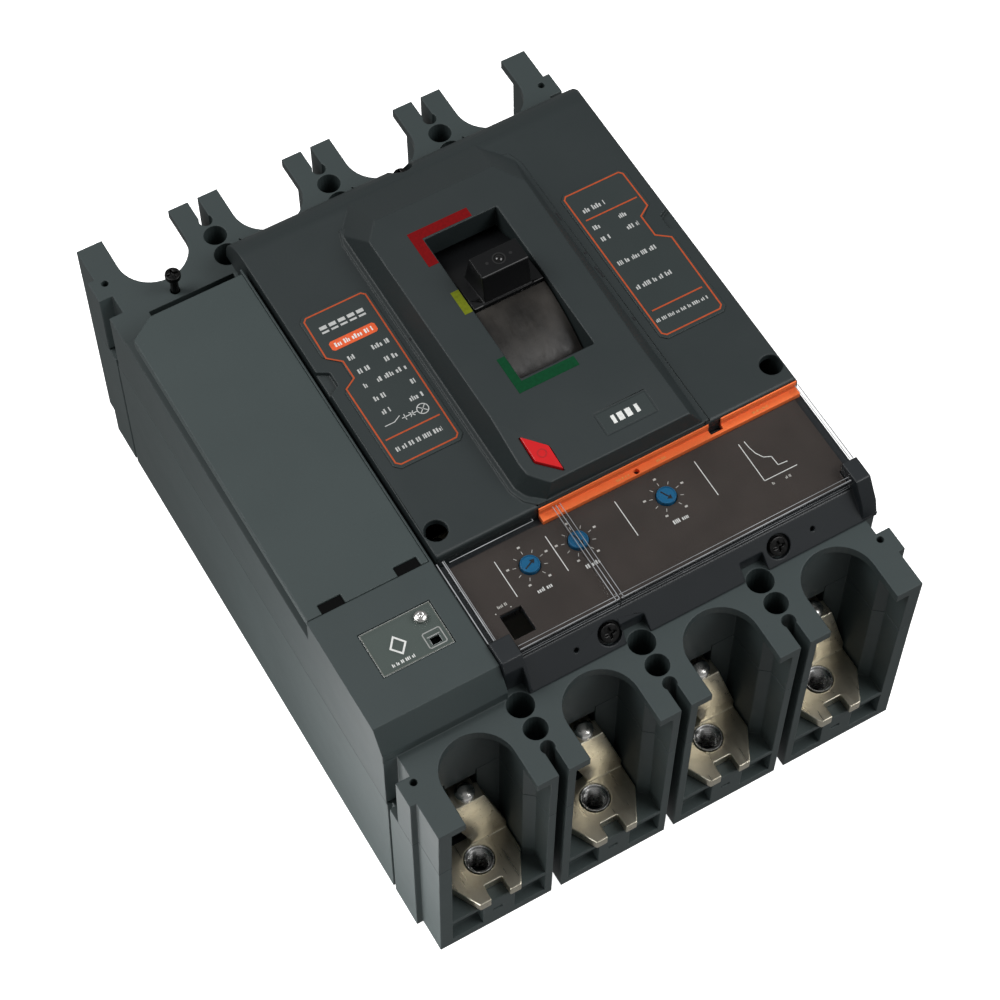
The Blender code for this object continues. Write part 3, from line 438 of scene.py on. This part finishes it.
def smoothing_group():
    """Shades faces smooth where they meet under 35 degrees."""
    group = bpy.data.node_groups.new("smooth_by_angle", "GeometryNodeTree")
    group.interface.new_socket("Geometry", in_out="INPUT", socket_type="NodeSocketGeometry")
    group.interface.new_socket("Geometry", in_out="OUTPUT", socket_type="NodeSocketGeometry")
    start = group.nodes.new("NodeGroupInput")
    end = group.nodes.new("NodeGroupOutput")
    faces = group.nodes.new("GeometryNodeSetShadeSmooth")
    sharp = group.nodes.new("GeometryNodeSetShadeSmooth")
    sharp.domain = "EDGE"
    sharp.inputs["Shade Smooth"].default_value = False
    angle = group.nodes.new("GeometryNodeInputMeshEdgeAngle")
    compare = group.nodes.new("FunctionNodeCompare")
    compare.operation = "GREATER_THAN"
    compare.inputs[1].default_value = math.radians(35.0)
    group.links.new(angle.outputs["Unsigned Angle"], compare.inputs[0])
    group.links.new(start.outputs[0], faces.inputs["Geometry"])
    group.links.new(faces.outputs["Geometry"], sharp.inputs["Geometry"])
    group.links.new(compare.outputs[0], sharp.inputs["Selection"])
    group.links.new(sharp.outputs["Geometry"], end.inputs[0])
    return group


SMOOTH = smoothing_group()


def round_off(made, width):
    """Rounds a piece's edges by width in mm, and shades its shallow edges smooth."""
    if width:
        weld = made.modifiers.new("weld", "WELD")
        weld.merge_threshold = 1e-6
        flat = made.modifiers.new("flat", "DECIMATE")
        flat.decimate_type = "DISSOLVE"
        flat.angle_limit = math.radians(0.6)
        bevel = made.modifiers.new("bevel", "BEVEL")
        bevel.width = width * MM
        bevel.segments = 2
        bevel.limit_method = "ANGLE"
        bevel.angle_limit = math.radians(28.0)
        bevel.use_clamp_overlap = False
        bevel.miter_outer = "MITER_ARC"
    shading = made.modifiers.new("smooth", "NODES")
    shading.node_group = SMOOTH
    even = made.modifiers.new("even", "WEIGHTED_NORMAL")
    even.keep_sharp = True
    even.weight = 100


def lathe(shape, profile, centre, steps=32):
    """Turns a (radius, z) profile about a vertical line; the profile starts and ends on the axis."""
    rings = []
    for radius, z in profile:
        if radius < 1e-6:
            rings.append([shape.verts.new(Vector((centre[0], centre[1], z)) * MM)])
        else:
            rings.append([shape.verts.new(Vector((x, y, z)) * MM) for x, y in circle(centre, radius, steps)])
    for low, high in zip(rings, rings[1:]):
        for i in range(steps):
            j = (i + 1) % steps
            if len(low) == 1:
                shape.faces.new((low[0], high[j], high[i]))
            elif len(high) == 1:
                shape.faces.new((low[i], low[j], high[0]))
            else:
                shape.faces.new((low[i], low[j], high[j], high[i]))
    return shape


def on_slope(made):
    """Lays a piece made level at the escutcheon's top onto its sloping load-side part."""
    spot = Vector((0.0, SLOPE_START, SLOPE_TOP)) * MM
    spin = Matrix.Rotation(math.radians(SLOPE_DEGREES), 4, "X")
    made.data.transform(Matrix.Translation(spot) @ spin @ Matrix.Translation(-spot))
    return made


# ---------------------------------------------------------------- the CAD nodes

ROUNDING = {
    "neutral_pole_cover": 0.35, "front_cover": 0.40,
    "trip_unit_housing": 0.35, "trip_faceplate": 0.08, "trip_trim_strip": 0.15, "trip_button": 0.45,
    "neutral_window": 0.15,
    "toggle_handle": 0.45, "toggle_shutter": 0.20, "rating_label_left": 0.08, "rating_label_right": 0.08,
    "current_rating_plate": 0.08, "seal_screw": 0.35, "crossbar": 0.5, "trip_actuator": 0.5,
}
PLAIN = (
    "mainspring_left", "mainspring_right", "base_housing", "main_case", "clear_lid_left", "clear_lid_right",
)
SCREW_ROUNDING = 0.45
TERMINAL_ROUNDING = 0.45
INNER_ROUNDING = 0.20


def finish_nodes():
    """Each CAD node gets its slot's material, rounded edges and clean shading."""
    slots = {part["node"]: part["material_slot"] for part in frame["record"]["subparts"]}
    for name, node in NODES.items():
        mesh = node.data
        for layer in ("custom_normal", "sharp_face", "sharp_edge"):
            if layer in mesh.attributes:
                mesh.attributes.remove(mesh.attributes[layer])
        mesh.materials.clear()
        mesh.materials.append(LOOKS.get(name, LOOKS[slots[name]]))
        width = ROUNDING.get(name, INNER_ROUNDING)
        if "_screw_" in name:
            width = SCREW_ROUNDING
        if "_terminal_" in name:
            width = TERMINAL_ROUNDING
        round_off(node, None if name in PLAIN else width)


# ---------------------------------------------------------------- metal fittings


def thread_bush(name, x, side):
    """A steel bush in a terminal's stud hole, with a cut thread down its bore, made about its own axis."""
    steps, per_turn, pitch = 36, 6, 1.5
    low, high, outer = 8.6, BAR_TOP + 0.45, 4.95
    thread_high = high - 0.9
    rows = int((thread_high - low) / pitch * per_turn)
    shape = bmesh.new()

    def ring(radius_at, z):
        spots = []
        for i in range(steps):
            turn = 2 * math.pi * i / steps
            radius = radius_at(i / steps)
            spots.append(shape.verts.new(Vector((radius * math.cos(turn), radius * math.sin(turn), z)) * MM))
        return spots

    def thread(z):
        def radius(share):
            wave = ((z - low) / pitch - share) % 1.0
            return BORE_ROOT - THREAD_DEPTH * (1.0 - abs(2.0 * wave - 1.0))
        return radius

    rings = [ring(lambda share: outer, low)]
    rings += [ring(thread(z), z) for z in [low + (thread_high - low) * i / rows for i in range(rows + 1)]]
    rings.append(ring(lambda share: BORE_ROOT + 0.25, high - 0.15))
    rings.append(ring(lambda share: BORE_ROOT + 0.42, high))
    rings.append(ring(lambda share: outer - 0.15, high))
    rings.append(ring(lambda share: outer, high - 0.15))
    for first, second in zip(rings, rings[1:] + rings[:1]):
        for i in range(steps):
            j = (i + 1) % steps
            shape.faces.new((first[i], first[j], second[j], second[i]))
    made = add(name, shape, THREADED, smooth=True)
    made.location = Vector((x, side * STUD_Y, 0.0)) * MM


def terminal_fittings():
    """Thread bushes in all stud holes, and round bolt heads that stand for the load side's bolts."""
    shank = [(0.0, 50.0), (1.7, 50.0), (2.0, 50.3), (2.0, 57.25)]
    head = [(3.2, 57.25), (3.45, 57.5), (3.45, 58.9), (3.3, 59.6), (2.9, 60.2), (2.2, 60.7), (1.2, 60.95)]
    for pole, x in POLES.items():
        for end, side in (("line", 1), ("load", -1)):
            thread_bush("thread_bush_%s_%s" % (end, pole), x, side)
        shape = lathe(bmesh.new(), shank + head + [(0.0, 61.0)], (x, BOLT_Y))
        made = add("bolt_head_" + pole, shape, LOOKS["bright_steel"], smooth=True)
        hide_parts("terminal_bolt_" + pole)


# ---------------------------------------------------------------- rating labels

LEFT_FRAME = [(-38.6, 53.5), (-17.6, 53.5), (-16.4, 52.3), (-16.8, -11.5), (-18.0, -12.7), (-38.6, -12.7)]
LEFT_FRAME += [(-40.0, -11.4), (-40.2, 21.8), (-35.9, 24.4), (-35.9, 32.1), (-40.2, 36.0), (-39.8, 52.3)]
RIGHT_FRAME = [(63.0, 53.6), (84.3, 53.6), (85.4, 52.4), (85.6, 36.4), (81.3, 33.6), (81.3, 24.4)]
RIGHT_FRAME += [(85.8, 20.9), (85.4, -11.4), (84.2, -12.6), (63.2, -12.6), (61.9, -11.3), (61.9, 52.4)]


def left_label():
    """Orange frame, rule and tab, and rows of plain dashes with a switch symbol."""
    shape = bmesh.new()
    ribbon(shape, LEFT_FRAME, 0.55, LABEL_TOP)
    bar(shape, (-38.6, -2.2), (-18.3, -2.2), 0.55, LABEL_TOP)
    add("left_label_frame", shape, INKS["orange_line"])
    shape = bmesh.new()
    slab(shape, [(-36.0, 41.1), (-20.3, 41.1), (-19.5, 40.4), (-19.5, 37.8), (-20.3, 37.1), (-36.0, 37.1),
                 (-36.8, 37.8), (-36.8, 40.4)], LABEL_TOP, LABEL_TOP + INK)
    add("left_label_tab", shape, INKS["orange"])
    shape = bmesh.new()
    text_bars(shape, -35.2, 38.2, 14.4, 1.8, LABEL_TOP + INK, 11)
    add("left_label_tab_marks", shape, INKS["white"])
    shape = bmesh.new()
    for i in range(5):
        across = (-36.6 + 3.5 * i, -34.0 + 3.5 * i)
        patch(shape, across, (45.0, 45.8), LABEL_TOP)
        patch(shape, across, (46.6, 48.0), LABEL_TOP)
    rows = ((31.2, -34.0, 2.6, -24.9, 7.0), (24.9, -33.6, 4.6, -23.5, 5.6), (19.0, -34.6, 1.3, -29.6, 11.4),
            (12.8, -34.2, 4.4, -20.3, 1.7), (6.9, -34.4, 3.2, -24.0, 5.4))
    for seed, (y, first, first_width, second, second_width) in enumerate(rows):
        text_bars(shape, first, y, first_width, 1.9, LABEL_TOP, seed)
        text_bars(shape, second, y, second_width, 1.9, LABEL_TOP, seed + 20)
    text_bars(shape, -37.4, -8.0, 17.2, 1.75, LABEL_TOP, 31)
    switch = (
        ((-36.2, 2.6), (-32.6, 2.6)), ((-32.6, 2.6), (-30.0, 4.0)), ((-29.8, 2.6), (-24.2, 2.6)),
        ((-28.6, 1.4), (-28.6, 3.8)), ((-26.9, 1.6), (-25.3, 3.6)), ((-26.9, 3.6), (-25.3, 1.6)),
    )
    for start, end in switch:
        bar(shape, start, end, 0.32, LABEL_TOP)
    lamp = (-22.0, 2.6)
    ribbon(shape, circle(lamp, 2.0), 0.34, LABEL_TOP)
    for turn in (45, 135):
        reach = Vector((math.cos(math.radians(turn)), math.sin(math.radians(turn)))) * 1.8
        bar(shape, Vector(lamp) - reach, Vector(lamp) + reach, 0.3, LABEL_TOP)
    add("left_label_marks", shape, INKS["label_white"])


def right_label():
    """Orange frame and two rules, and rows of plain dashes."""
    shape = bmesh.new()
    ribbon(shape, RIGHT_FRAME, 0.55, LABEL_TOP)
    bar(shape, (63.9, 41.3), (84.3, 41.3), 0.55, LABEL_TOP)
    bar(shape, (63.9, -2.0), (83.7, -2.0), 0.55, LABEL_TOP)
    add("right_label_frame", shape, INKS["orange_line"])
    shape = bmesh.new()
    rows = ((44.2, 65.0, 8.6, 2.0), (36.4, 64.4, 3.2, 1.8), (36.4, 74.6, 4.0, 1.8), (30.9, 64.4, 3.6, 1.8),
            (30.9, 74.6, 4.6, 1.8), (19.4, 64.0, 15.8, 1.8), (7.8, 64.2, 14.2, 1.8), (-7.0, 62.9, 20.6, 1.35))
    for seed, (y, left, width, height) in enumerate(rows):
        text_bars(shape, left, y, width, height, LABEL_TOP, seed + 40)
    add("right_label_marks", shape, INKS["label_white"])


# ---------------------------------------------------------------- escutcheon, button and toggle


def position_marks():
    """Red for on, yellow for tripped and green for off, printed around the toggle's window."""
    red = [(4.3, 44.8), (8.1, 44.8), (8.1, 56.3), (27.4, 56.3), (27.4, 60.2), (4.3, 60.2)]
    yellow = [(5.2, 21.9), (8.2, 21.9), (8.2, 32.0), (5.2, 32.0)]
    green = [(5.2, -14.0), (28.0, -14.0), (28.0, -10.0), (8.2, -10.0), (8.2, 1.2), (5.2, 1.2)]
    for name, outline in (("red", red), ("yellow", yellow), ("green", green)):
        shape = bmesh.new()
        slab(shape, outline, FRAME_TOP, FRAME_TOP + INK)
        add(name + "_position_mark", shape, INKS[name])


def slope_marks():
    """Dashes on the current rating plate, painted shade in the gap round it, and a plain ring on the button.
    """
    shape = bmesh.new()
    for x, width in ((27.4, 1.3), (30.0, 2.0), (33.0, 2.0), (36.2, 1.3)):
        bar(shape, (x, -38.5), (x, -35.4), width, SLOPE_TOP - 0.09)
    on_slope(add("current_rating_marks", shape, INKS["white"]))
    shape = bmesh.new()
    # Painted shade: a dark ring of colour in the gap round the rating plate.
    gap = [(22.55, -41.05), (41.65, -41.05), (41.65, -32.55), (22.55, -32.55)]
    ribbon(shape, gap, 0.5, SLOPE_TOP - 0.08)
    on_slope(add("current_rating_gap", shape, INKS["seam"]))
    shape = bmesh.new()
    ribbon(shape, circle(BUTTON_AT, 1.45, 24), 0.5, SLOPE_TOP + 0.92)
    on_slope(add("button_mark", shape, INKS["deep_red"], "trip_button"))


def toggle_details():
    """The domed rivet in the grip's end, painted shade for the dark ring round it and two pin holes, and
    painted highlights on the carrier's step and the grip's front edge.
    """
    radius, seat = 1.9, 130.2
    turns = [math.radians(t) for t in range(90, 0, -15)]
    dome = [(radius * math.sin(t), seat + 1.7 * math.cos(t)) for t in turns]
    shape = lathe(bmesh.new(), [(0.0, 129.8), (radius, 129.8)] + dome + [(0.0, 131.9)], GRIP_AT, 28)
    add("toggle_rivet", shape, INKS["rivet"], "toggle", True)
    shape = bmesh.new()
    # Painted shade: a dark ring round the rivet and two dark dots for the pin holes.
    ribbon(shape, circle(GRIP_AT, 2.15, 28), 0.5, GRIP_TOP)
    for x in (18.0, 27.0):
        slab(shape, circle((x, 29.6), 0.6, 12), GRIP_TOP, GRIP_TOP + INK)
    add("toggle_hole_shade", shape, INKS["hole"], "toggle")
    shape = bmesh.new()
    # Painted highlights: pale strips on the carrier's step and along the grip's front edge.
    for across in ((9.4, 12.6), (32.2, 35.6)):
        patch(shape, across, (22.55, 22.85), 119.08)
    patch(shape, (13.9, 31.1), (25.1, 25.4), GRIP_TOP)
    add("toggle_edge_highlights", shape, INKS["lit_edge"], "toggle")


# ---------------------------------------------------------------- trip unit


def trip_prints():
    """Dial scales, dividers and a plain trip curve on the faceplate."""
    z = PLATE_TOP
    shape = bmesh.new()
    for x in (-29.0, -10.0, 16.2, 46.8):
        bar(shape, (x, -56.7), (x, -71.5), 0.30, z)
    for start, end in (((62.9, -58.4), (62.8, -74.5)), ((62.8, -74.5), (75.4, -74.6))):
        bar(shape, start, end, 0.30, z)
    curve = [(65.1, -58.4), (65.3, -61.2), (65.9, -64.0), (67.4, -66.6), (69.8, -67.7), (70.0, -71.5)]
    curve.append((73.4, -71.8))
    for start, end in zip(curve, curve[1:]):
        bar(shape, start, end, 0.30, z)
    for x in (-22.5, -4.4, 28.6):
        text_bars(shape, x, -73.9, 5.6, 1.5, z, int(x) + 90)
    add("trip_plate_lines", shape, INKS["white"])
    shape = bmesh.new()
    for name, (x, _) in DIALS.items():
        for i in range(9):
            turn = math.radians(-60.0 + 37.5 * i)
            ray = Vector((math.cos(turn), math.sin(turn)))
            spot = Vector((x, DIAL_Y))
            bar(shape, spot + ray * 4.6, spot + ray * 5.8, 0.20, z)
            label = spot + ray * 7.4
            if i % 2 == 0:
                patch(shape, (label.x - 0.5, label.x + 0.5), (label.y - 0.35, label.y + 0.35), z)
    text_bars(shape, 64.4, -77.2, 1.4, 1.0, z, 3)
    text_bars(shape, 69.4, -77.4, 2.2, 1.0, z, 4)
    text_bars(shape, -36.6, -72.4, 4.0, 1.1, z, 5)
    for x in (-38.2, -32.6):
        slab(shape, circle((x, -73.6), 0.25, 8), z, z + INK)
    add("trip_plate_scales", shape, INKS["pale"])
    shape = bmesh.new()
    for x, width in ((20.3, 5.2), (35.6, 4.0), (73.0, 6.0)):
        text_bars(shape, x, -51.5, width, 0.8, TRIM_TOP, int(x))
    add("trim_strip_marks", shape, INKS["pale_orange"])


def dials():
    """Dished blue dials with a dark arrow; each stands for its CAD node."""
    stem = [(0.0, 93.0), (1.6, 93.0), (1.6, 100.4)]
    cap = [(3.35, 100.4), (3.35, 104.9), (3.2, 105.15), (2.95, 105.2), (2.8, 104.95), (0.0, 104.9)]
    arrow = [(-2.3, 0.26), (0.9, 0.26), (0.9, 1.0), (2.4, 0.0), (0.9, -1.0), (0.9, -0.26), (-2.3, -0.26)]
    for name, (x, turned) in DIALS.items():
        spot = Vector((x, DIAL_Y))
        shape = lathe(bmesh.new(), stem + cap, (x, DIAL_Y), 40)
        made = add(name + "_face", shape, LOOKS["blue_dial"], name, True)
        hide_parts(name)
        shape = bmesh.new()
        heading = math.radians(turned)
        ray = Vector((math.cos(heading), math.sin(heading)))
        side = Vector((-ray.y, ray.x))
        slab(shape, [tuple(spot + ray * a + side * b) for a, b in arrow], 104.91, 105.0)
        add(name + "_arrow", shape, INKS["dark"], name)


def lid_edges():
    """Painted highlights: pale strips where light catches the lids' cut edges along their load lips, side
    rims and split.
    """
    film = 0.03
    lips = {"left": (-38.9, -2.3), "right": (-1.7, 85.7)}
    rims = {
        "left": ((-46.85, 0.35, LID_RIM_Y), (-44.75, 0.4, LID_RIM_Y), (-44.1, 0.2, LID_RIM_Y),
                 (-3.75, 0.22, LID_LIP_Y), (-2.5, 0.26, LID_LIP_Y)),
        "right": ((-1.0, 0.22, LID_LIP_Y), (89.75, 0.25, LID_RIM_Y), (90.8, 0.35, LID_RIM_Y)),
    }
    hinge = [(-42.7, -51.9), (-11.6, -51.9), (-11.6, -51.0), (-11.9, -51.0), (-11.9, -51.65), (-42.7, -51.65)]
    for side in ("left", "right"):
        shape = bmesh.new()
        for low, high in ((103.75, 104.15), (105.3, 105.5), (107.7, 107.95)):
            block(shape, lips[side], (LID_LIP_Y - film, LID_LIP_Y), low, high)
        for inset, width in ((0.15, 0.3), (1.5, 0.2)):
            y = LID_LIP_Y + inset
            block(shape, lips[side], (y - width / 2, y + width / 2), LID_TOP, LID_TOP + film)
        for x, width, low in rims[side]:
            block(shape, (x, x + width), (low, LID_HINGE_Y), LID_TOP, LID_TOP + film)
        if side == "left":
            slab(shape, hinge, LID_TOP, LID_TOP + film)
        add("lid_%s_lit_edges" % side, shape, INKS["painted_edge_highlight"], "lid_" + side)


def plate_ledge():
    """The faceplate's thin turned edge that reaches under the left lid's hinge line."""
    shape = bmesh.new()
    outline = [(-43.4, -53.82), (-8.42, -53.82), (-8.42, -52.3), (-11.8, -51.7), (-43.4, -51.7)]
    slab(shape, outline, 103.3, 104.0)
    add("faceplate_ledge", shape, LOOKS["faceplate"])


def finger_slot_depths():
    """The unlit depth inside the neutral cover's two finger slots."""
    shape = bmesh.new()
    half, low, high = 4.15, -47.55, -44.05
    for x in FINGER_SLOTS:
        outline = [(x - half, low), (x + half, low), (x + half, -44.7), (x + 3.8, high), (x - half, high)]
        # Painted shade: dark slabs a little below the top stand for the unlit inside of the slots.
        slab(shape, outline, NEUTRAL_TOP - 1.0, NEUTRAL_TOP - 0.6)
    add("finger_slot_depths", shape, INKS["slot"])


def neutral_window_lines():
    """A painted highlight as the window's pale outline along its edge, and the frame around its small slot.
    """
    shape = bmesh.new()
    # Painted highlight: a faint pale line along the window's edge.
    ribbon(shape, [(-80.3, -76.9), (-55.4, -76.9), (-55.4, -60.5), (-80.3, -60.5)], 0.28, WINDOW_TOP)
    add("neutral_window_lines", shape, INKS["faint"])
    shape = bmesh.new()
    slot = [(-62.6, -75.6), (-57.2, -75.6), (-56.8, -75.2), (-56.8, -70.2)]
    slot += [(-57.2, -69.8), (-62.6, -69.8), (-63.0, -70.2), (-63.0, -75.2)]
    ribbon(shape, slot, 0.40, WINDOW_TOP)
    bar(shape, (-62.2, -71.7), (-57.6, -71.7), 0.30, WINDOW_TOP)
    add("neutral_slot_frame", shape, INKS["soft"])


def seal_screw_cap():
    """A bright domed cap with a small centre point on the seal screw."""
    cap = [(0.0, 108.7), (1.9, 108.7), (1.9, 108.8), (1.7, 109.0), (1.0, 109.15)]
    cap += [(0.9, 109.05), (0.5, 109.05), (0.4, 109.2), (0.0, 109.25)]
    dome = lathe(bmesh.new(), cap, SEAL_AT, 24)
    add("seal_screw_dome", dome, LOOKS["bright_steel"], smooth=True)


def neutral_window_marks():
    """A plain diamond and a row of dashes in place of lettering."""
    shape = bmesh.new()
    ribbon(shape, [(-71.3, -66.0), (-68.6, -69.4), (-71.3, -72.6), (-74.0, -69.4)], 0.62, WINDOW_TOP)
    text_bars(shape, -76.4, -75.6, 8.2, 1.2, WINDOW_TOP, 8)
    add("neutral_window_marks", shape, INKS["white"])


def cover_vents():
    """Painted shade: dark spots and strips for two small holes and three vent slits in the front cover."""
    shape = bmesh.new()
    for spot in ((-12.4, 28.5), (56.7, 29.6)):
        slab(shape, circle(spot, 0.55, 12), COVER_TOP, COVER_TOP + INK)
    slits = (((56.6, 49.2), (56.6, 45.6)), ((56.5, 23.0), (56.9, 17.8)), ((56.7, -1.0), (56.9, -2.6)))
    for start, end in slits:
        bar(shape, start, end, 0.5, COVER_TOP)
    add("cover_vents", shape, INKS["dark"])


# ---------------------------------------------------------------- stage


def stage():
    """A white floor that only the camera sees, an even world, two large lamps and two low cards."""
    reach, z = 6.0, -0.0004
    floor = bpy.data.meshes.new("floor")
    corners = [(-reach, -reach, z), (reach, -reach, z), (reach, reach, z), (-reach, reach, z)]
    floor.from_pydata(corners, [], [(0, 1, 2, 3)])
    made = bpy.data.objects.new("floor", floor)
    bpy.context.scene.collection.objects.link(made)
    look = Look("studio_floor", (0.80, 0.80, 0.80), 0.8)
    look.set("Emission Color", (1.0, 1.0, 1.0, 1.0))
    look.set("Emission Strength", 1.0)
    floor.materials.append(look.material)
    made.visible_diffuse = False
    made.visible_glossy = False

    world = bpy.data.worlds.new("studio")
    bpy.context.scene.world = world
    world.use_nodes = True
    background = world.node_tree.nodes["Background"]
    background.inputs["Color"].default_value = (1.0, 1.0, 1.0, 1.0)
    background.inputs["Strength"].default_value = 0.24

    lamps = (
        ("key", (-0.9, 0.7, 1.5), (0.9, 0.9), 20.5),
        ("fill", (0.9, -0.7, 1.3), (1.2, 0.8), 18.5),
        ("flank_card", (-0.21, -0.10, 0.004), (0.20, 0.16), 0.52),
        ("load_card", (-0.02, -0.27, 0.004), (0.26, 0.12), 0.02),
    )
    for name, at, size, power in lamps:
        light = bpy.data.lights.new(name, "AREA")
        light.shape = "RECTANGLE"
        light.size, light.size_y = size
        light.energy = power
        lamp = bpy.data.objects.new(name, light)
        lamp.location = at
        aim = Vector((0.0, -0.06, 0.10) if name.endswith("card") else (0.0, 0.0, 0.06)) - Vector(at)
        lamp.rotation_euler = aim.to_track_quat("-Z", "Y").to_euler()
        bpy.context.scene.collection.objects.link(lamp)


def camera():
    lens = bpy.data.cameras.new("camera")
    lens.sensor_width = 36.0
    lens.lens = FOCAL_MM
    lens.clip_start = 0.02
    lens.clip_end = 30.0
    made = bpy.data.objects.new("camera", lens)
    right, down, forward = (Vector(v).normalized() for v in (CAMERA_RIGHT, CAMERA_DOWN, CAMERA_FORWARD))
    turn = Matrix((right, -down, -forward)).transposed()
    made.matrix_world = Matrix.Translation(CAMERA_AT) @ turn.to_4x4()
    bpy.context.scene.collection.objects.link(made)
    bpy.context.scene.camera = made
    bpy.context.scene.view_settings.view_transform = "Standard"


camera()
stage()
finish_nodes()
terminal_fittings()
left_label()
right_label()
position_marks()
slope_marks()
toggle_details()
trip_prints()
dials()
lid_edges()
plate_ledge()
finger_slot_depths()
neutral_window_lines()
seal_screw_cap()
neutral_window_marks()
cover_vents()
